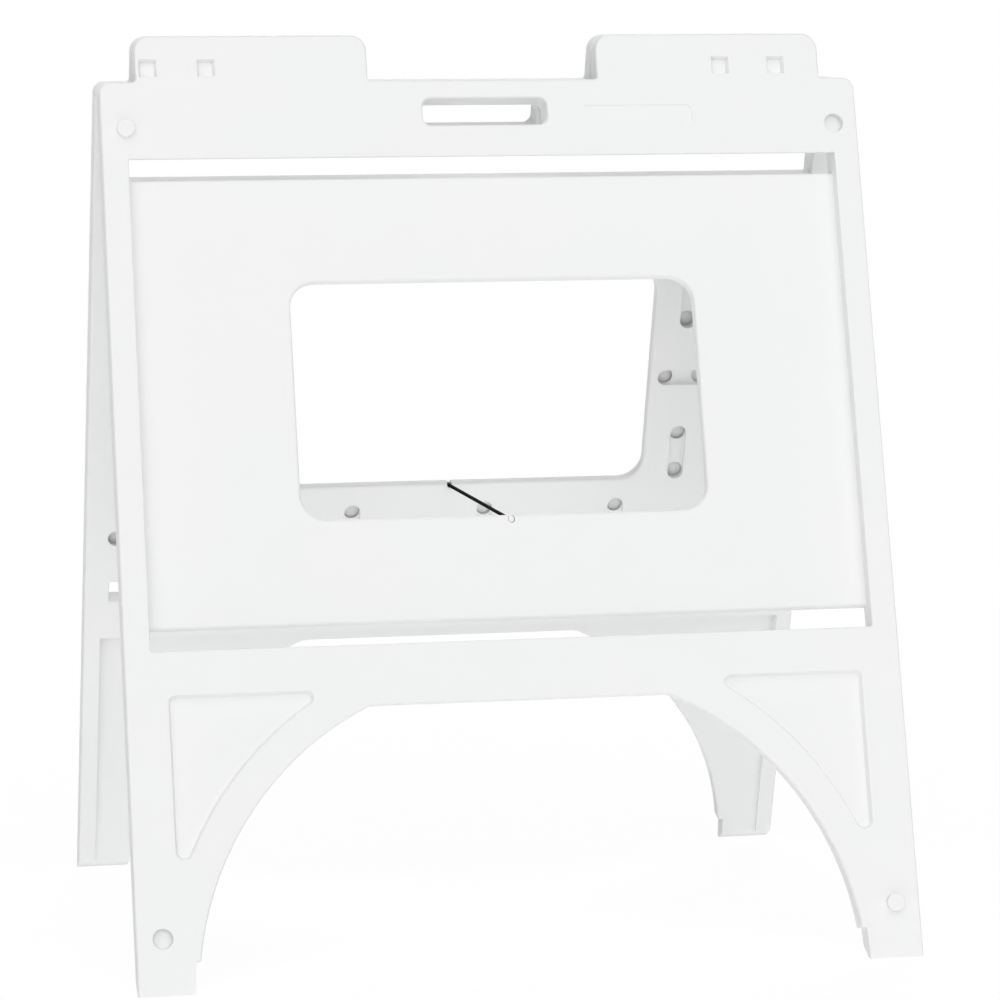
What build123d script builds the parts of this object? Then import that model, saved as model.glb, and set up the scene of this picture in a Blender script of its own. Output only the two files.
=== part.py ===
# A-frame sign for roadworks: two identical moulded plastic halves lean together, turn on pins
# between their tabs, and are held open by a cord from panel to panel.
# A half is drawn in its own face: u runs across, v up the slope from the sole, w is the depth behind it.
from math import cos, hypot, radians, sin, sqrt, tan
import os

from build123d import *

# Stance
lean = 17.0
face_length = 732.5
top_gap = 2.46

# Outline of a half
foot_width = 635.0
top_width = 630.9
top_corner_radius = 9.5
depth_top = 25.0
depth_foot = 18.2
edge_radius = 2.0

# Tabs above the top bar
tab_inner = 96.0
tab_inset = 29.45
tab_height = 38.1
tab_corner_radius = 12.5
tab_root_radius = 2.5
tab_gap = 6.4

# Square recesses in the tabs, where a lamp bracket is bolted on
lamp_seat_size = 14.7
lamp_seat_depth = 5.0
lamp_seat_draft = 20.0
lamp_seat_rise = 11.2
lamp_seat_inset = 10.3
lamp_seat_pitch = 47.4
lamp_seat_stagger = 26.9

# Top bar with its handle and a bare place for a label
top_bar_height = 64.6
handle_width = 104.0
handle_height = 22.7
handle_radius = 7.0
handle_drop = 26.7
handle_edge_radius = 2.0
label_gap = 28.0
label_width = 94.0
label_height = 20.0
label_drop = 32.5
label_depth = 0.8
label_radius = 4.5

# Opening between the stiles, and the recessed panel in it
stile_width = 21.2
opening_corner_radius = 1.5
opening_edge_radius = 1.2
bar_draft = 6.0
top_slot_height = 14.5
low_slot_height = 18.0
slot_rim_radius = 2.0
panel_recess = 11.0
panel_edge_radius = 3.0
panel_bite = 8.0
window_width = 336.0
window_height = 194.8
window_rise = 85.0
window_radius = 21.0
window_edge_radius = 2.5

# Rail, arch and legs
rail_height = 48.7
arch_top = 220.7
arch_radius = 249.6
arch_crown_cut = 21.8
leg_width = 47.9
arch_corner_radius = 20.0
step_rise = 25.9
step_width = 4.2
foot_draft = 1.4
toe_depth = 6.5
toe_rise = 2.2
leg_rim = 13.8
leg_pocket_rail = 13.7
leg_pocket_depth = 10.5
leg_pocket_foot = 16.7

# Gusset recesses on the front, between the arch and the sides
gusset_inset = 34.1
gusset_drop = 35.2
gusset_band = 26.1
gusset_depth = 5.0
gusset_radius = 5.5
gusset_foot_radius = 7.0
gusset_draft = 20.0
gusset_edge_radius = 0.8

# Nesting marks in the corners of the face: two bumps and two dimples
mark_inset_top = 19.9
mark_drop = 39.2
mark_inset_foot = 20.9
mark_rise = 44.3
bump_radius = 7.3
bump_height = 5.0
bump_edge_radius = 0.8
dimple_radius = 8.0
dimple_depth = 6.0
dimple_edge_radius = 0.5

# Tack-offs, where the back wall is pressed to the front wall of the panel
tack_radius = 7.0
tack_wall = 2.5
groove_wall = 6.3
pair_tall = 36.0
pair_wide = 31.0
tack_margin = 43.0
row_count = 5
row_pitch = 116.6
row_shift = -29.5
column_margin = 29.5
column_pitch = 70.9
column_shift = -2.2
edge_tack_inset = 4.6

# Hinge
hinge_drop = 0.9
hinge_u = 145.0
knuckle_radius = 7.0
knuckle_length = 24.0
knuckle_gap = 0.8
pocket_clearance = 0.8
pin_diameter = 5.5
pin_clearance = 0.05
pin_head_diameter = 9.0
pin_head_length = 2.5
pin_head_edge_radius = 0.8
pin_end_play = 0.4
pin_tail = 2.0
pin_tail_chamfer = 0.8
retainer_length = 1.6
retainer_flange = 0.7
retainer_lip = 0.6
retainer_clearance = 0.02

# Cord
cord_diameter = 3.0
cord_u = 2.9
notch_clearance = 0.5
notch_rise = 8.0
stop_diameter = 5.4
stop_length = 3.0
stop_edge_radius = 1.2
stop_sink = 0.4
stop_clearance = 0.3

# Sizes that follow from the ones above
sin_lean = sin(radians(lean))
cos_lean = cos(radians(lean))
slope = tan(radians(lean))
half_spread = face_length * sin_lean + depth_top * cos_lean + top_gap / 2
taper = (depth_top - depth_foot) / face_length
through = 2 * depth_top
tab_outer = top_width / 2 - tab_inset
tab_top = face_length + tab_height
tab_mid = (tab_inner + tab_outer) / 2
tab_line = (half_spread - tab_gap / 2) / cos_lean
lamp_outer = tab_outer - lamp_seat_inset
lamp_inner = lamp_outer - lamp_seat_stagger
handle_v = face_length - handle_drop
opening_bottom = arch_top + rail_height
opening_top = face_length - top_bar_height
bar_rise = bar_draft * through / depth_top
panel_bottom = opening_bottom + low_slot_height
panel_top = opening_top - top_slot_height
arch_centre_u = foot_width / 2 - leg_width - arch_radius
arch_centre_v = arch_top + arch_crown_cut - arch_radius
leg_pocket_top = arch_top + leg_pocket_rail
window_bottom = panel_bottom + window_rise
window_top = window_bottom + window_height
window_v = (window_bottom + window_top) / 2
gusset_side = foot_width / 2 - gusset_inset
gusset_top = opening_bottom - gusset_drop
gusset_arc = arch_radius + gusset_band
row_middle = (row_count - 1) / 2
column_u = window_width / 2 + column_margin
hinge_v = face_length - hinge_drop
hinge_w = (half_spread - hinge_v * sin_lean) / cos_lean
hinge_height = hinge_v * cos_lean - hinge_w * sin_lean
pin_radius = pin_diameter / 2
pin_head_radius = pin_head_diameter / 2
knuckle_pitch = knuckle_length + knuckle_gap
hinge_half_span = 1.5 * knuckle_length + knuckle_gap
end_pocket = pin_end_play + pin_head_length + pin_tail

# Margin by which a sketch runs past the solid it trims, and the fineness for finding corners and edges
trim = 20.0
slack = 1.0
near = 0.01


def depth_at(v):
    return depth_foot + taper * v


def side_at(v):
    return (foot_width + (top_width - foot_width) * v / face_length) / 2


def opening_at(v):
    return side_at(v) - stile_width


def pocket_at(v):
    return leg_pocket_foot + (leg_pocket_depth - leg_pocket_foot) * v / leg_pocket_top


def arch_u(v, radius):
    return arch_centre_u + sqrt(radius**2 - (v - arch_centre_v) ** 2)


def arch_v(u, radius):
    return arch_centre_v + sqrt(radius**2 - (u - arch_centre_u) ** 2)


def is_at(point, u, v):
    return abs(abs(point.X) - u) < slack and abs(point.Y - v) < slack


def is_front(point):
    return abs(point.Z) < near


def is_back(point):
    return abs(point.Z + depth_at(point.Y)) < near


def is_inside(point, half_width, bottom, top):
    return abs(point.X) < half_width + near and bottom - near < point.Y < top + near


def is_opening(point):
    return is_inside(point, opening_at(point.Y), opening_bottom, opening_top + bar_draft)


def is_window(point):
    return is_inside(point, window_width / 2, window_bottom, window_top)


def is_handle(point):
    return is_inside(point, handle_width / 2, handle_v - handle_height / 2, handle_v + handle_height / 2)


def is_arch_rim(point):
    inside = is_inside(point, arch_u(step_rise, arch_radius), step_rise, arch_top)
    return inside and abs(point.Z + pocket_at(point.Y)) < near


def is_gusset_rim(point):
    from_arch = hypot(abs(point.X) - arch_centre_u, point.Y - arch_centre_v)
    inside = is_inside(point, gusset_side, 0, gusset_top)
    return is_front(point) and inside and from_arch > gusset_arc - near


cord_height = window_bottom * cos_lean - depth_at(window_bottom) * sin_lean - cord_diameter / 2
stop_bed = panel_recess + stop_sink + stop_length
stop_v = (cord_height + stop_bed * sin_lean) / cos_lean
cord_end = half_spread - stop_v * sin_lean - stop_bed * cos_lean
panel_half = max(opening_at(panel_bottom), opening_at(panel_top)) + panel_bite


def build_half(face):
    section = Plane(origin=face.origin, x_dir=face.y_dir, z_dir=face.x_dir)
    level = Plane(origin=(0, 0, 0), x_dir=face.x_dir, z_dir=(0, face.z_dir.Y, 0))

    def place(shape):
        return face.to_local_coords(shape.center())

    with BuildPart() as half:
        # Front outline with its arch, feet and tabs; it runs below the sole, which is trimmed later
        with BuildSketch(face) as outline:
            with BuildLine():
                flat_end = (arch_u(arch_top, arch_radius), arch_top)
                arch_foot = (arch_u(-trim, arch_radius), -trim)
                Line((0, arch_top), flat_end)
                RadiusArc(flat_end, arch_foot, arch_radius)
                Polyline(
                    arch_foot,
                    (side_at(-trim), -trim),
                    (side_at(face_length), face_length),
                    (0, face_length),
                )
                mirror(about=Plane.YZ)
            make_face()
            with Locations((-tab_mid, face_length), (tab_mid, face_length)):
                Rectangle(tab_outer - tab_inner, 2 * tab_height)
            for u, v, radius in (
                (tab_inner, tab_top, tab_corner_radius),
                (tab_outer, tab_top, tab_corner_radius),
                (tab_inner, face_length, tab_root_radius),
                (tab_outer, face_length, tab_root_radius),
                (side_at(face_length), face_length, top_corner_radius),
                (*flat_end, arch_corner_radius),
            ):
                fillet([p for p in outline.vertices() if is_at(p, u, v)], radius)
        extrude(amount=-through)

        # Back face, which tapers towards the feet
        with BuildSketch(section):
            with BuildLine():
                Polyline(
                    (-trim, 0),
                    (tab_top, 0),
                    (tab_top, -depth_at(tab_top)),
                    (-trim, -depth_at(-trim)),
                    close=True,
                )
            make_face()
        extrude(amount=foot_width, both=True, mode=Mode.INTERSECT)

        # Opening between the stiles, under a top bar with a sloping underside
        with BuildPart(mode=Mode.SUBTRACT):
            with BuildSketch(face) as opening:
                with BuildLine():
                    Polyline(
                        (0, opening_bottom),
                        (opening_at(opening_bottom), opening_bottom),
                        (opening_at(opening_top + bar_rise), opening_top + bar_rise),
                        (0, opening_top + bar_rise),
                    )
                    mirror(about=Plane.YZ)
                make_face()
                corners = [p for p in opening.vertices() if abs(p.X) > slack]
                fillet([p for p in corners if p.Y < opening_top], opening_corner_radius)
            extrude(amount=-through)
            with BuildSketch(section):
                with BuildLine():
                    Polyline(
                        (opening_bottom, 0),
                        (opening_top, 0),
                        (opening_top + bar_rise, -through),
                        (opening_bottom, -through),
                        close=True,
                    )
                make_face()
            extrude(amount=foot_width, both=True, mode=Mode.INTERSECT)

        # Rounded edges round the front and the back
        rims = [e for e in half.edges() if is_front(place(e)) and place(e).Y > 0]
        fillet([e for e in rims if not is_opening(place(e))], edge_radius)
        rims = [e for e in half.edges() if is_front(place(e)) and is_opening(place(e))]
        fillet(rims, opening_edge_radius)
        rims = [e for e in half.edges() if is_back(place(e)) and place(e).Y > 0]
        fillet([e for e in rims if not is_opening(place(e))], edge_radius)

        # Side profile: level sole, bevelled heel, and upright inner face of the tabs
        with BuildSketch(section):
            with BuildLine():
                Polyline(
                    (-trim * slope, trim),
                    (toe_depth * slope, -toe_depth),
                    (toe_rise, -toe_depth),
                    (toe_rise + through - toe_depth, -through),
                    ((tab_line - through) / slope, -through),
                    (tab_top + trim, (tab_top + trim) * slope - tab_line),
                    (tab_top + trim, trim),
                    close=True,
                )
            make_face()
        extrude(amount=foot_width, both=True, mode=Mode.INTERSECT)

        # Handle in the top bar
        with BuildSketch(face):
            with Locations((0, handle_v)):
                RectangleRounded(handle_width, handle_height, handle_radius)
        extrude(amount=-through, mode=Mode.SUBTRACT)
        rims = [e for e in half.edges() if is_front(place(e)) or is_back(place(e))]
        fillet([e for e in rims if is_handle(place(e))], handle_edge_radius)

        # Step where the arch ends and the foot stands back from it
        with BuildSketch(face):
            with BuildLine():
                step_u = arch_u(step_rise, arch_radius) + step_width
                Polyline(
                    (0, step_rise),
                    (step_u, step_rise),
                    (step_u + foot_draft, 0),
                    (step_u + foot_draft, -trim),
                    (0, -trim),
                )
                mirror(about=Plane.YZ)
            make_face()
        extrude(amount=-through, mode=Mode.SUBTRACT)

        # Pocket behind the legs and the rail, which grows shallower towards the sole
        with BuildSketch(section):
            with BuildLine():
                Polyline(
                    (-trim, -pocket_at(-trim)),
                    (leg_pocket_top, -leg_pocket_depth),
                    (leg_pocket_top, -through),
                    (-trim, -through),
                    close=True,
                )
            make_face()
        extrude(amount=side_at(leg_pocket_top) - leg_rim, both=True, mode=Mode.SUBTRACT)
        fillet([e for e in half.edges() if is_arch_rim(place(e))], edge_radius)

        # Panel with rounded front edges, flush with the back of the stiles, and its window
        with BuildSketch(section.offset(-panel_half)) as panel:
            with BuildLine():
                Polyline(
                    (panel_bottom, -panel_recess),
                    (panel_top, -panel_recess),
                    (panel_top, -depth_at(panel_top)),
                    (panel_bottom, -depth_at(panel_bottom)),
                    close=True,
                )
            make_face()
            fillet([p for p in panel.vertices() if p.Y > -panel_recess - near], panel_edge_radius)
        extrude(amount=2 * panel_half)
        rims = [e for e in half.edges() if is_back(place(e)) and is_opening(place(e))]
        fillet(rims, slot_rim_radius)
        with BuildSketch(face):
            with Locations((0, window_v)):
                RectangleRounded(window_width, window_height, window_radius)
        extrude(amount=-through, mode=Mode.SUBTRACT)
        rims = [e for e in half.edges() if is_window(place(e))]
        rims = [e for e in rims if is_back(place(e)) or abs(place(e).Z + panel_recess) < near]
        fillet(rims, window_edge_radius)

        # Gusset recesses above the legs
        with BuildSketch(face) as gussets:
            with BuildLine():
                gusset_inner = (arch_u(gusset_top, gusset_arc), gusset_top)
                gusset_lower = (gusset_side, arch_v(gusset_side, gusset_arc))
                Polyline(gusset_inner, (gusset_side, gusset_top), gusset_lower)
                RadiusArc(gusset_inner, gusset_lower, gusset_arc)
            make_face()
            for corner, radius in (
                (gusset_lower, gusset_foot_radius),
                (gusset_inner, gusset_radius),
                ((gusset_side, gusset_top), gusset_radius),
            ):
                fillet([p for p in gussets.vertices() if is_at(p, *corner)], radius)
            mirror(about=Plane.YZ)
        extrude(amount=-gusset_depth, taper=gusset_draft, mode=Mode.SUBTRACT)
        fillet([e for e in half.edges() if is_gusset_rim(place(e))], gusset_edge_radius)

        # Nesting marks
        mark_v_top = face_length - mark_drop
        mark_u_top = side_at(mark_v_top) - mark_inset_top
        mark_u_foot = side_at(mark_rise) - mark_inset_foot
        with BuildSketch(face):
            with Locations((-mark_u_top, mark_v_top), (mark_u_foot, mark_rise)):
                Circle(bump_radius)
        extrude(amount=bump_height)
        fillet([e for e in half.edges() if abs(place(e).Z - bump_height) < near], bump_edge_radius)
        with BuildSketch(face):
            with Locations((mark_u_top, mark_v_top), (-mark_u_foot, mark_rise)):
                Circle(dimple_radius)
        extrude(amount=-dimple_depth, mode=Mode.SUBTRACT)
        rims = [e for e in half.edges() if is_front(place(e)) and e.geom_type == GeomType.CIRCLE]
        fillet([e for e in rims if abs(e.radius - dimple_radius) < near], dimple_edge_radius)

        # Bare place for a label beside the handle
        with BuildSketch(face):
            with Locations((handle_width / 2 + label_gap + label_width / 2, face_length - label_drop)):
                RectangleRounded(label_width, label_height, label_radius)
        extrude(amount=-label_depth, mode=Mode.SUBTRACT)

        # Tack-offs on the back: pairs of dimples joined by a groove, in rows and in columns
        row = [row_shift + (i - row_middle) * row_pitch for i in range(row_count)]
        low_v = window_bottom - tack_margin
        cross_v = window_v + column_shift
        tall_pairs = [(u, low_v) for u in row]
        for side in (-1, 1):
            tall_pairs += [(side * column_u, cross_v + end * column_pitch) for end in (-1, 1)]
        wide_pairs = [(u, window_top + tack_margin) for u in row]
        wide_pairs += [(side * column_u, cross_v) for side in (-1, 1)]
        tacks = [(u, v + end * pair_tall / 2) for u, v in tall_pairs for end in (-1, 1)]
        tacks += [(u + end * pair_wide / 2, v) for u, v in wide_pairs for end in (-1, 1)]
        tacks.append((opening_at(low_v) - edge_tack_inset, low_v))
        with BuildSketch(face.offset(-panel_recess - groove_wall)):
            with Locations(*tall_pairs):
                SlotCenterToCenter(pair_tall, 2 * tack_radius, rotation=90)
            with Locations(*wide_pairs):
                SlotCenterToCenter(pair_wide, 2 * tack_radius)
        extrude(amount=-depth_top, mode=Mode.SUBTRACT)
        with BuildSketch(face.offset(-panel_recess - tack_wall)):
            with Locations(*tacks):
                Circle(tack_radius)
        extrude(amount=-depth_top, mode=Mode.SUBTRACT)

        # Square recesses in the tabs
        lamp_seats = (-lamp_outer, -lamp_outer + lamp_seat_pitch, lamp_inner - lamp_seat_pitch, lamp_inner)
        with BuildSketch(face):
            with Locations(*[(u, face_length + lamp_seat_rise) for u in lamp_seats]):
                Rectangle(lamp_seat_size, lamp_seat_size)
        extrude(amount=-lamp_seat_depth, taper=lamp_seat_draft, mode=Mode.SUBTRACT)

        # Hinge: one knuckle behind the right tab and two behind the left, pockets for the other half's
        # knuckles and for the ends of the pin, and a bore for the pin
        for side, own in ((1, (0,)), (-1, (-1, 1))):
            for station in (-1, 0, 1):
                start = side * hinge_u + station * knuckle_pitch - knuckle_length / 2
                if station in own:
                    with BuildSketch(section.offset(start)):
                        with Locations((hinge_v, -hinge_w)):
                            Circle(knuckle_radius)
                    extrude(amount=knuckle_length)
                else:
                    with BuildSketch(section.offset(start - knuckle_gap)):
                        with Locations((hinge_v, -hinge_w)):
                            Circle(knuckle_radius + pocket_clearance)
                    extrude(amount=knuckle_length + 2 * knuckle_gap, mode=Mode.SUBTRACT)
            for end in (-1, 1):
                with BuildSketch(section.offset(side * hinge_u + end * hinge_half_span)):
                    with Locations((hinge_v, -hinge_w)):
                        Circle(pin_head_radius + pocket_clearance)
                extrude(amount=end * end_pocket, mode=Mode.SUBTRACT)
            with BuildSketch(section.offset(side * hinge_u - hinge_half_span)):
                with Locations((hinge_v, -hinge_w)):
                    Circle(pin_radius + pin_clearance)
            extrude(amount=2 * hinge_half_span, mode=Mode.SUBTRACT)

        # Notch in the window sill for the cord, and a seat that sinks its stop below the panel's face
        with BuildSketch(level.offset(cord_end + trim)):
            with Locations((cord_u, cord_height)):
                Circle(cord_diameter / 2 + notch_clearance)
            with Locations((cord_u, cord_height + notch_rise / 2)):
                Rectangle(cord_diameter + 2 * notch_clearance, notch_rise)
        extrude(amount=-through, mode=Mode.SUBTRACT)
        with BuildSketch(face.offset(-stop_bed)):
            with Locations((cord_u, stop_v)):
                Circle(stop_diameter / 2 + stop_clearance)
        extrude(amount=stop_bed, mode=Mode.SUBTRACT)
    return half.part


def build_pin(side):
    start = hinge_u - hinge_half_span - pin_end_play
    shank = 2 * (hinge_half_span + pin_end_play) + retainer_length + pin_tail - pin_end_play
    seat = Plane(origin=(side * start, 0, hinge_height), z_dir=(side, 0, 0))
    with BuildPart() as pin:
        with BuildSketch(seat):
            Circle(pin_radius)
        extrude(amount=shank)
        chamfer(pin.edges().sort_by(Axis.X)[-1 if side > 0 else 0], pin_tail_chamfer)
        with BuildSketch(seat):
            Circle(pin_head_radius)
        extrude(amount=-pin_head_length)
        fillet(pin.edges().sort_by(Axis.X)[0 if side > 0 else -1], pin_head_edge_radius)
    return pin.part


def build_retainer(side):
    start = hinge_u + hinge_half_span + pin_end_play
    grip = pin_radius + retainer_clearance
    seat = Plane(origin=(side * start, 0, hinge_height), x_dir=(0, 1, 0), z_dir=(0, 0, 1))
    with BuildPart() as retainer:
        # Flat flange with a raised lip that grips the pin
        with BuildSketch(seat):
            with BuildLine():
                Polyline(
                    (grip, 0),
                    (pin_head_radius, 0),
                    (pin_head_radius, -side * retainer_flange),
                    (grip + 2 * retainer_lip, -side * retainer_flange),
                    (grip + retainer_lip, -side * retainer_length),
                    (grip, -side * retainer_length),
                    close=True,
                )
            make_face()
        revolve(axis=Axis((0, 0, hinge_height), (1, 0, 0)))
    return retainer.part


def build_stop(face):
    with BuildPart() as stop:
        with BuildSketch(face.offset(-stop_bed)):
            with Locations((cord_u, stop_v)):
                Circle(stop_diameter / 2)
        extrude(amount=stop_length)
        tip = [e for e in stop.edges() if face.to_local_coords(e.center()).Z > near - stop_bed]
        fillet([e for e in tip if e.geom_type == GeomType.CIRCLE], stop_edge_radius)
    return stop.part


front_face = Plane(origin=(0, -half_spread, 0), x_dir=(1, 0, 0), z_dir=(0, -cos_lean, sin_lean))
rear_face = Plane(origin=(0, half_spread, 0), x_dir=(-1, 0, 0), z_dir=(0, cos_lean, sin_lean))

with BuildPart() as spreader_cord:
    with BuildSketch(Plane(origin=(0, 0, cord_height), z_dir=(-cord_u, cord_end, 0))):
        Circle(cord_diameter / 2)
    extrude(amount=cord_end + trim, both=True)
    split(bisect_by=front_face.offset(-stop_bed), keep=Keep.BOTTOM)
    split(bisect_by=rear_face.offset(-stop_bed), keep=Keep.BOTTOM)

pieces = {
    "front_half": build_half(front_face),
    "rear_half": build_half(rear_face),
    "hinge_pin_left": build_pin(-1),
    "hinge_pin_right": build_pin(1),
    "pin_retainer_left": build_retainer(-1),
    "pin_retainer_right": build_retainer(1),
    "spreader_cord": spreader_cord.part,
    "cord_stop_front": build_stop(front_face),
    "cord_stop_rear": build_stop(rear_face),
}

os.makedirs("parts", exist_ok=True)
for label, piece in pieces.items():
    piece.label = label
    export_step(piece, f"parts/{label}.step")
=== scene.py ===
# %% [markdown]
# # A folding A-frame road sign in white polyethylene
# Two moulded halves lean together, turn on pins between their tabs and are held open by a cord.
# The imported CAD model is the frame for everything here: its pieces have their real size and place
# already, so this lesson gives them their finishes, makes the cord as a braid, and sets up the light
# and the camera of the photograph.

# %% Load the frame
from math import pi, radians

import bmesh
import bpy
from mathutils import Euler, Matrix, Vector


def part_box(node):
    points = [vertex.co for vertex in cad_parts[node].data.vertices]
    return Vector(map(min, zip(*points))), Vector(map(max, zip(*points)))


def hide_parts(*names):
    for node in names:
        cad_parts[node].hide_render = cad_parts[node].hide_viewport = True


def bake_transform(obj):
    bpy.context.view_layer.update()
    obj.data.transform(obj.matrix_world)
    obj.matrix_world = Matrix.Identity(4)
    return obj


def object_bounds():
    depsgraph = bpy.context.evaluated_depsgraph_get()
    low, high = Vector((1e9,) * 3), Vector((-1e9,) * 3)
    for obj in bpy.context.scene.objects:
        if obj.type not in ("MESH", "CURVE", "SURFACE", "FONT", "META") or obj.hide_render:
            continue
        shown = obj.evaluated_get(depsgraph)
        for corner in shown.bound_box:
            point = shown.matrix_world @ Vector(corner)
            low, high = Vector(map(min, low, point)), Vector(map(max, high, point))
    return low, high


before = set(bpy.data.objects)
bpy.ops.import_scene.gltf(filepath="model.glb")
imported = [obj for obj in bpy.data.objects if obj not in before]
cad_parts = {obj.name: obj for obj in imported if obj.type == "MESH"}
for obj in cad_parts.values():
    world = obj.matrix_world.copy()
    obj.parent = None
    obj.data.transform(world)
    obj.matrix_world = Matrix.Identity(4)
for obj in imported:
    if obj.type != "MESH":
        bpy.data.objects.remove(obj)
cad_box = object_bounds()
MM = 0.001
print("CAD box, mm:", [[round(value / MM, 1) for value in corner] for corner in cad_box])

# %% [markdown]
# ## Camera
# The photograph was taken a little left of the sign, from about its own height and over three metres
# away, through a long lens: the sides of the sign hardly converge. Blender could frame the object by
# itself, but then the vanishing points would be wrong, so place, turn and lens are given here.
# A camera looks down its own -Z axis. Turning it up by a right angle makes it look along +Y.

# %% Camera at the photograph's viewing angle
camera_place = Vector((-0.6529, -3.2173, 0.7741))
camera_yaw = radians(11.79)
camera_pitch = radians(-7.37)
camera_roll = radians(-0.09)
focal_length_in_frames = 3.952

camera = bpy.data.objects.new("camera", bpy.data.cameras.new("camera"))
camera.data.lens = camera.data.sensor_width * focal_length_in_frames
aim = Euler((pi / 2 + camera_pitch, 0, -camera_yaw)).to_matrix() @ Matrix.Rotation(camera_roll, 3, "Z")
camera.matrix_world = Matrix.Translation(camera_place) @ aim.to_4x4()
bpy.context.scene.collection.objects.link(camera)
bpy.context.scene.camera = camera
print("camera lens, mm:", round(camera.data.lens, 1))

# %% [markdown]
# ## Spreader cord
# A thin braided cord runs straight from a stop in the front panel to one in the rear panel, and keeps
# the feet from sliding apart. Its centre line is a NURBS spline through the two stops, with a point near
# each sill, where the cord leaves the plastic. A bevelled curve would be quick, but a curve has no UV map
# for the braid, so a ring of vertices is extruded along the spline instead.

# %% Centre line of the cord, from stop to stop
cord_diameter = 3.0 * MM
cord_low, cord_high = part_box("spreader_cord")
cord_x = 2.9 * MM
cord_y = 0.11776
cord_z = (cord_low.z + cord_high.z) / 2
sill_share = 0.84
steps_per_span = 40
cord_route = [
    (cord_x, -cord_y, cord_z),
    (cord_x * sill_share, -cord_y * sill_share, cord_z),
    (-cord_x * sill_share, cord_y * sill_share, cord_z),
    (-cord_x, cord_y, cord_z),
]

route = bpy.data.curves.new("cord_route", "CURVE")
route.dimensions = "3D"
spline = route.splines.new("NURBS")
spline.points.add(len(cord_route) - 1)
for point, place in zip(spline.points, cord_route):
    point.co = (*place, 1)
spline.order_u = 3
spline.use_endpoint_u = True
spline.resolution_u = steps_per_span
route_object = bpy.data.objects.new("cord_route", route)
route_mesh = bpy.data.meshes.new_from_object(route_object)
cord_line = [vertex.co.copy() for vertex in route_mesh.vertices]
bpy.data.objects.remove(route_object)

# %% Cord tube, with a UV map in millimetres for the braid
def sweep_ring(line, radius, sides):
    ring_mesh = bmesh.new()
    towards = (line[-1] - line[0]).normalized().to_track_quat("Z", "Y").to_matrix().to_4x4()
    start = Matrix.Translation(line[0]) @ towards
    bmesh.ops.create_circle(ring_mesh, cap_ends=True, segments=sides, radius=radius, matrix=start)
    ring = ring_mesh.edges[:]
    for here, there in zip(line, line[1:]):
        grown = bmesh.ops.extrude_edge_only(ring_mesh, edges=ring)["geom"]
        moved = [part for part in grown if isinstance(part, bmesh.types.BMVert)]
        bmesh.ops.translate(ring_mesh, verts=moved, vec=there - here)
        ring = [part for part in grown if isinstance(part, bmesh.types.BMEdge)]
        ring = [edge for edge in ring if all(vertex in moved for vertex in edge.verts)]
    bmesh.ops.contextual_create(ring_mesh, geom=ring)
    bmesh.ops.recalc_face_normals(ring_mesh, faces=ring_mesh.faces)
    return ring_mesh


cord_sides = 24
cord_bmesh = sweep_ring(cord_line, cord_diameter / 2, cord_sides)
axis = (cord_line[-1] - cord_line[0]).normalized()
sideways = axis.orthogonal().normalized()
upwards = axis.cross(sideways)
braid_map = cord_bmesh.loops.layers.uv.new("braid")
for face in cord_bmesh.faces:
    face.smooth = len(face.verts) == 4
    middle = face.calc_center_median() - cord_line[0]
    centre_turn = Vector((middle.dot(sideways), middle.dot(upwards)))
    for loop in face.loops:
        offset = loop.vert.co - cord_line[0]
        spoke = Vector((offset.dot(sideways), offset.dot(upwards)))
        turn = centre_turn.angle_signed(Vector((1, 0)), 0) + spoke.angle_signed(centre_turn, 0)
        loop[braid_map].uv = (turn / (2 * pi), offset.dot(axis) / MM)
cord_mesh = bpy.data.meshes.new("spreader_cord_braid")
cord_bmesh.to_mesh(cord_mesh)
cord_bmesh.free()
cord = bpy.data.objects.new("spreader_cord_braid", cord_mesh)
bpy.context.scene.collection.objects.link(cord)
print("cord faces:", len(cord_mesh.polygons))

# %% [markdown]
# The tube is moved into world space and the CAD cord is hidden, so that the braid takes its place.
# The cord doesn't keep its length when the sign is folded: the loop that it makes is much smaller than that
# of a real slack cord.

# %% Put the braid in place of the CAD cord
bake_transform(cord)
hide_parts("spreader_cord")
print("cord fixed to the front and rear halves:", cord.name)

# %% [markdown]
# ## Helpers for the finishes
# Colours are written as the sRGB hex values that a colour picker shows. Blender's shaders work in linear
# light, so one function converts them. Another adds a node with its settings and links in one line, and
# the last starts a material and hands over its node tree and shader.

# %% Colour and node helpers
def linear(hex_colour):
    channels = [int(hex_colour[i:i + 2], 16) / 255 for i in (1, 3, 5)]
    return [c / 12.92 if c <= 0.04045 else ((c + 0.055) / 1.055) ** 2.4 for c in channels] + [1.0]


def add_node(tree, kind, inputs=None, **settings):
    node = tree.nodes.new(kind)
    for name, value in settings.items():
        setattr(node, name, value)
    for socket, value in (inputs or {}).items():
        if isinstance(value, bpy.types.NodeSocket):
            tree.links.new(value, node.inputs[socket])
        else:
            node.inputs[socket].default_value = value
    return node


def new_finish(name):
    finish = bpy.data.materials.new(name)
    finish.use_nodes = True
    return finish, finish.node_tree, finish.node_tree.nodes["Principled BSDF"]


print("middle grey in linear light:", round(linear("#808080")[0], 3))
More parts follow.
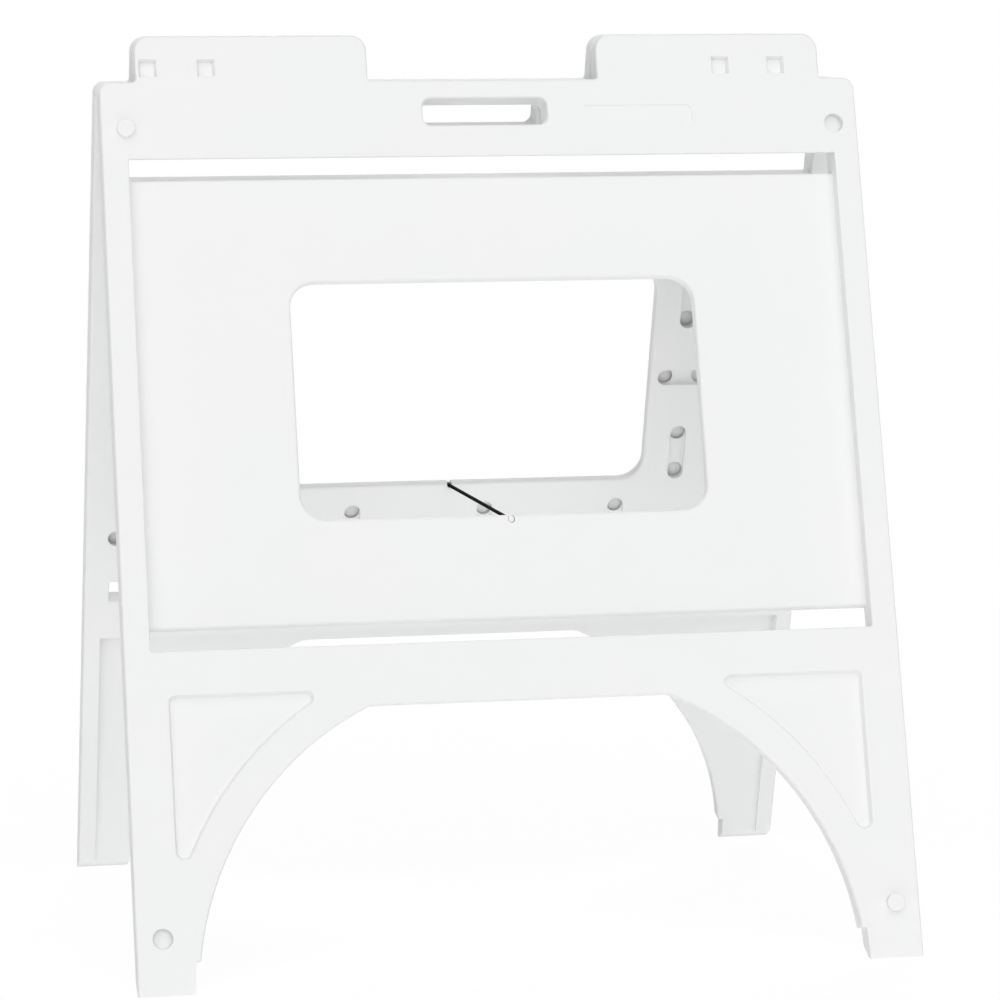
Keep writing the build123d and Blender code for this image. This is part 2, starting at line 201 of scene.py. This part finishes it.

# %% [markdown]
# ## White polyethylene, blow moulded
# A hollow parison of hot high-density polyethylene is blown against a sand-blasted aluminium mould.
# The skin copies the blasting as a fine peel, and as it cools it draws in a little between the ribs,
# which shows as slow ripples in the sheen. The white pigment is not perfectly even either.
# A flat white would hide all of that, so noise in three real sizes drives bump, gloss and tint.
# In the photograph the walls of recesses and narrow gaps are darker than the light alone makes them here,
# so shade is painted there: a grey mixed into the colour. The Ambient Occlusion node finds those places
# from
# the shape itself: it tells how much of the space within a centimetre or so is open. It looks at the
# piece's own surface only, so the painted shade stays where it is when the sign folds.

# %% Finish of the two halves
# A real peel is finer than this, but would not show in a picture of the whole sign.
peel_size, peel_depth = 1.6 * MM, 0.04 * MM
ripple_size, ripple_depth = 55 * MM, 0.6 * MM
tint_size = 170 * MM
dullest_skin, glossiest_skin = 0.66, 0.54
# Painted shade: grey is mixed into the colour where little of the space nearby is open, fully below the
# first openness and not at all above the second.
painted_shade_reach = 14 * MM
painted_shade_strength = 0.8
painted_shade_full_below = 0.15
painted_shade_none_above = 0.42

white_polyethylene, tree, skin = new_finish("white_polyethylene_blow_moulded")
place = add_node(tree, "ShaderNodeTexCoord").outputs["Object"]
peel = add_node(tree, "ShaderNodeTexNoise", {"Vector": place, "Scale": 1 / peel_size, "Detail": 2.0})
ripple = add_node(tree, "ShaderNodeTexNoise", {"Vector": place, "Scale": 1 / ripple_size, "Detail": 1.0})
cloud = add_node(tree, "ShaderNodeTexNoise", {"Vector": place, "Scale": 1 / tint_size, "Detail": 3.0})
tint = add_node(tree, "ShaderNodeMix", {"Factor": cloud.outputs["Fac"]}, data_type="RGBA")
tint.inputs["A"].default_value = linear("#f1f2f3")
tint.inputs["B"].default_value = linear("#f3f3f2")
openness = add_node(
    tree, "ShaderNodeAmbientOcclusion", {"Distance": painted_shade_reach}, samples=16, only_local=True
)
painted_shade_share = add_node(
    tree,
    "ShaderNodeMapRange",
    {
        "Value": openness.outputs["AO"],
        "From Min": painted_shade_full_below,
        "From Max": painted_shade_none_above,
        "To Min": painted_shade_strength,
        "To Max": 0.0,
    },
)
# Painted shade: the grey below is mixed into the skin colour in recesses and narrow gaps.
painted_shade_mix = add_node(tree, "ShaderNodeMix", {"Factor": painted_shade_share.outputs["Result"]}, data_type="RGBA")
tree.links.new(tint.outputs["Result"], painted_shade_mix.inputs["A"])
painted_shade_mix.inputs["B"].default_value = linear("#6f6f6c")
gloss = add_node(
    tree,
    "ShaderNodeMapRange",
    {"Value": ripple.outputs["Fac"], "To Min": glossiest_skin, "To Max": dullest_skin},
)
slow = add_node(
    tree, "ShaderNodeBump", {"Height": ripple.outputs["Fac"], "Strength": 0.25, "Distance": ripple_depth}
)
fine = add_node(
    tree,
    "ShaderNodeBump",
    {
        "Height": peel.outputs["Fac"],
        "Strength": 0.2,
        "Distance": peel_depth,
        "Normal": slow.outputs["Normal"],
    },
)
tree.links.new(painted_shade_mix.outputs["Result"], skin.inputs["Base Color"])
tree.links.new(gloss.outputs["Result"], skin.inputs["Roughness"])
tree.links.new(fine.outputs["Normal"], skin.inputs["Normal"])
skin.inputs["IOR"].default_value = 1.53
skin.inputs["Specular IOR Level"].default_value = 0.3
print("finish:", white_polyethylene.name)

# %% [markdown]
# ## Zinc-plated steel
# The hinge is hidden in the photograph. Pins and push-on retainers of such hinges are usually steel with
# bright zinc, so that is assumed. Zinc crystals scatter light in patches of half a millimetre or so, and
# drawing leaves fine lines along the pin. A Voronoi texture makes the patches, and noise that is stretched
# along the pin makes the lines.

# %% Finish of the pins and retainers
zinc_patch = 0.6 * MM
draw_line, draw_depth = 0.12 * MM, 0.02 * MM
line_stretch = 50
brightest_zinc, dullest_zinc = 0.28, 0.42

zinc_steel, tree, plating = new_finish("zinc_plated_steel_drawn")
place = add_node(tree, "ShaderNodeTexCoord").outputs["Object"]
patches = add_node(tree, "ShaderNodeTexVoronoi", {"Vector": place, "Scale": 1 / zinc_patch})
across = add_node(tree, "ShaderNodeMapping", {"Vector": place, "Scale": (1 / line_stretch, 1, 1)})
lines = add_node(
    tree, "ShaderNodeTexNoise", {"Vector": across.outputs["Vector"], "Scale": 1 / draw_line, "Detail": 2.0}
)
shade = add_node(tree, "ShaderNodeMix", {"Factor": patches.outputs["Distance"]}, data_type="RGBA")
shade.inputs["A"].default_value = linear("#c9ccd0")
shade.inputs["B"].default_value = linear("#b4b8bd")
rough = add_node(
    tree,
    "ShaderNodeMapRange",
    {"Value": patches.outputs["Distance"], "To Min": brightest_zinc, "To Max": dullest_zinc},
)
drawn = add_node(
    tree, "ShaderNodeBump", {"Height": lines.outputs["Fac"], "Strength": 0.3, "Distance": draw_depth}
)
tree.links.new(shade.outputs["Result"], plating.inputs["Base Color"])
tree.links.new(rough.outputs["Result"], plating.inputs["Roughness"])
tree.links.new(drawn.outputs["Normal"], plating.inputs["Normal"])
plating.inputs["Metallic"].default_value = 1.0
print("finish:", zinc_steel.name)

# %% [markdown]
# ## Black polyester braid
# The photograph shows a black line, too thin to tell how the cord is made. A common cord of this size is
# a braid: eight yarns run round it one way and eight the other, over and under each other. On the UV map
# u goes once round the cord and v is the length in millimetres, so two sets of slanting waves make the
# yarns. The higher of the two at each point is the one on top. The colour is a shade darker in the dips
# between yarns and a shade lighter on their tops: painted shade and a painted sheen.

# %% Finish of the cord
yarns_each_way = 8
braid_pitch_mm = 9.0
yarn_depth = 0.15 * MM
yarn_top, yarn_dip = 0.6, 0.85

black_braid, tree, yarn = new_finish("black_polyester_braid")
place = add_node(tree, "ShaderNodeUVMap", uv_map="braid").outputs["UV"]
parts = add_node(tree, "ShaderNodeSeparateXYZ", {"Vector": place})
climb = add_node(
    tree, "ShaderNodeMath", {0: parts.outputs["Y"], 1: 1 / braid_pitch_mm}, operation="MULTIPLY"
)
heights = []
for lay in ("ADD", "SUBTRACT"):
    slant = add_node(tree, "ShaderNodeMath", {0: parts.outputs["X"], 1: climb.outputs[0]}, operation=lay)
    phase = add_node(
        tree, "ShaderNodeMath", {0: slant.outputs[0], 1: 2 * pi * yarns_each_way}, operation="MULTIPLY"
    )
    heights.append(add_node(tree, "ShaderNodeMath", {0: phase.outputs[0]}, operation="SINE").outputs[0])
top = add_node(tree, "ShaderNodeMath", {0: heights[0], 1: heights[1]}, operation="MAXIMUM")
dip = add_node(tree, "ShaderNodeMapRange", {"Value": top.outputs[0], "From Min": -1.0, "From Max": 1.0})
# Painted sheen and shade: the yarn tops get a slightly lighter black, the dips between them a darker one.
painted_sheen_and_shade = add_node(tree, "ShaderNodeMix", {"Factor": dip.outputs["Result"]}, data_type="RGBA")
painted_sheen_and_shade.inputs["A"].default_value = linear("#010101")
painted_sheen_and_shade.inputs["B"].default_value = linear("#070708")
relief = add_node(
    tree, "ShaderNodeBump", {"Height": dip.outputs["Result"], "Strength": 0.8, "Distance": yarn_depth}
)
dull = add_node(
    tree, "ShaderNodeMapRange", {"Value": dip.outputs["Result"], "To Min": yarn_dip, "To Max": yarn_top}
)
tree.links.new(painted_sheen_and_shade.outputs["Result"], yarn.inputs["Base Color"])
tree.links.new(dull.outputs["Result"], yarn.inputs["Roughness"])
tree.links.new(relief.outputs["Normal"], yarn.inputs["Normal"])
yarn.inputs["Specular IOR Level"].default_value = 0.008
cord.data.materials.append(black_braid)
print("finish:", black_braid.name)

# %% [markdown]
# ## Natural nylon
# The photograph shows hardly anything of the small stops on the cord's ends, so their material is a guess:
# nylon without pigment. It is a milky off-white, smooth and a little waxy, and hardly stands out from the
# panel around it.

# %% Finish of the stops
nylon_grain, nylon_pit = 0.5 * MM, 0.03 * MM
glossiest_nylon, dullest_nylon = 0.38, 0.5

natural_nylon, tree, waxy = new_finish("natural_nylon_moulded")
place = add_node(tree, "ShaderNodeTexCoord").outputs["Object"]
grain = add_node(tree, "ShaderNodeTexNoise", {"Vector": place, "Scale": 1 / nylon_grain, "Detail": 2.0})
mottle = add_node(tree, "ShaderNodeMix", {"Factor": grain.outputs["Fac"]}, data_type="RGBA")
mottle.inputs["A"].default_value = linear("#ecebe8")
mottle.inputs["B"].default_value = linear("#f2f1ee")
satin = add_node(
    tree,
    "ShaderNodeMapRange",
    {"Value": grain.outputs["Fac"], "To Min": glossiest_nylon, "To Max": dullest_nylon},
)
pits = add_node(
    tree, "ShaderNodeBump", {"Height": grain.outputs["Fac"], "Strength": 0.2, "Distance": nylon_pit}
)
tree.links.new(mottle.outputs["Result"], waxy.inputs["Base Color"])
tree.links.new(satin.outputs["Result"], waxy.inputs["Roughness"])
tree.links.new(pits.outputs["Normal"], waxy.inputs["Normal"])
print("finish:", natural_nylon.name)

# %% [markdown]
# ## Finishes on the CAD pieces
# The CAD pieces keep their shape and place. Each has one material slot, which takes its finish here.

# %% Give each CAD piece its finish
finish_of_slot = {
    "white_polyethylene": white_polyethylene,
    "zinc_steel": zinc_steel,
    "black_cord": black_braid,
    "grey_plastic": natural_nylon,
}
for name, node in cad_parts.items():
    for slot in node.material_slots:
        slot.material = finish_of_slot[slot.material.name]
    print(name, "->", [slot.material.name for slot in node.material_slots])

# %% [markdown]
# ## Floor and background
# The sign stands on a white floor that runs to the horizon. A white floor that is only lit would come out
# grey in the shade and far away, so part of it shines evenly, for the camera and for reflections alone.
# That share grows with the distance from the sign until floor and sky are the same white. Close to the
# sign the rest is a plain matt white that is lit as usual, which keeps the soft shadow under it. That matt
# white also gives a little light of its own, like a light table: in the photograph the faces that look down
# are nearly as bright as the rest, so they are lit from below.

# %% Floor that keeps the shadow
full_white = linear("#ffffff")
floor_half_size = 60.0
table_light = 0.30
glow_at_sign = 0.86
shadow_reach = 1.8

floor_mesh = bpy.data.meshes.new("floor")
floor_bmesh = bmesh.new()
bmesh.ops.create_grid(floor_bmesh, x_segments=1, y_segments=1, size=floor_half_size)
floor_bmesh.to_mesh(floor_mesh)
floor_bmesh.free()
floor = bpy.data.objects.new("floor", floor_mesh)
bpy.context.scene.collection.objects.link(floor)


def seen_directly(tree):
    rays = add_node(tree, "ShaderNodeLightPath").outputs
    mirror = add_node(
        tree, "ShaderNodeMath", {0: rays["Is Camera Ray"], 1: rays["Is Glossy Ray"]}, operation="MAXIMUM"
    )
    seen = add_node(
        tree, "ShaderNodeMath", {0: mirror.outputs[0], 1: rays["Is Transmission Ray"]}, operation="MAXIMUM"
    )
    return seen.outputs[0]


floor_paint, tree, matt = new_finish("white_studio_floor")
matt.inputs["Base Color"].default_value = linear("#f2f2f2")
matt.inputs["Roughness"].default_value = 1.0
matt.inputs["Specular IOR Level"].default_value = 0.0
matt.inputs["Emission Color"].default_value = full_white
matt.inputs["Emission Strength"].default_value = table_light
place = add_node(tree, "ShaderNodeTexCoord").outputs["Object"]
away = add_node(tree, "ShaderNodeVectorMath", {0: place}, operation="LENGTH")
share = add_node(
    tree,
    "ShaderNodeMapRange",
    {"Value": away.outputs["Value"], "From Max": shadow_reach, "To Min": glow_at_sign, "To Max": 1.0},
    interpolation_type="SMOOTHSTEP",
)
shown = add_node(
    tree, "ShaderNodeMath", {0: seen_directly(tree), 1: share.outputs["Result"]}, operation="MULTIPLY"
)
glow = add_node(tree, "ShaderNodeEmission", {"Color": full_white, "Strength": 1.0})
mixed = add_node(
    tree, "ShaderNodeMixShader", {0: shown.outputs[0], 1: matt.outputs["BSDF"], 2: glow.outputs["Emission"]}
)
tree.links.new(mixed.outputs["Shader"], tree.nodes["Material Output"].inputs["Surface"])
floor_mesh.materials.append(floor_paint)
print("floor:", floor.name, "in", floor_paint.name)

# %% [markdown]
# ## Light
# In the photograph every face that looks forwards is nearly white and no shadow has an edge. Only gaps and
# the walls of recesses are dark. A very large softbox, high up in front, gives that light. A sun lamp with
# a wide angle is such a softbox: it has the same level everywhere, and its shadows gather only where most
# of the lamp is hidden. A second, weaker one lights the back. The lit floor fills the undersides, and a
# dim even world keeps the deepest gaps from going black.

# %% World and lamps
world_fill = 0.03
front_place, front_level, front_spread = Vector((-0.4, -3.0, 3.4)), 0.71, radians(90)
back_place, back_level, back_spread = Vector((0.6, 3.0, 1.8)), 0.55, radians(60)

world = bpy.data.worlds.new("studio")
bpy.context.scene.world = world
world.use_nodes = True
tree = world.node_tree
fill = tree.nodes["Background"]
fill.inputs["Color"].default_value = full_white
fill.inputs["Strength"].default_value = world_fill
white = add_node(tree, "ShaderNodeBackground", {"Color": full_white, "Strength": 1.0})
sky = add_node(
    tree,
    "ShaderNodeMixShader",
    {0: seen_directly(tree), 1: fill.outputs["Background"], 2: white.outputs["Background"]},
)
tree.links.new(sky.outputs["Shader"], tree.nodes["World Output"].inputs["Surface"])


def hang_softbox(name, place, level, spread):
    lamp = bpy.data.lights.new(name, "SUN")
    # A sun of strength pi lights a white face that looks straight at it to exactly 1.
    lamp.energy = level * pi
    lamp.angle = spread
    stand = bpy.data.objects.new(name, lamp)
    stand.location = place
    stand.rotation_mode = "QUATERNION"
    stand.rotation_quaternion = (place - object_middle).to_track_quat("Z", "Y")
    bpy.context.scene.collection.objects.link(stand)


object_middle = (cad_box[0] + cad_box[1]) / 2
hang_softbox("front_softbox", front_place, front_level, front_spread)
hang_softbox("back_softbox", back_place, back_level, back_spread)

# %% [markdown]
# ## Finish
# The view transform is Standard, so a colour comes out as it was written.

# %% Colour management
bpy.context.scene.view_settings.view_transform = "Standard"
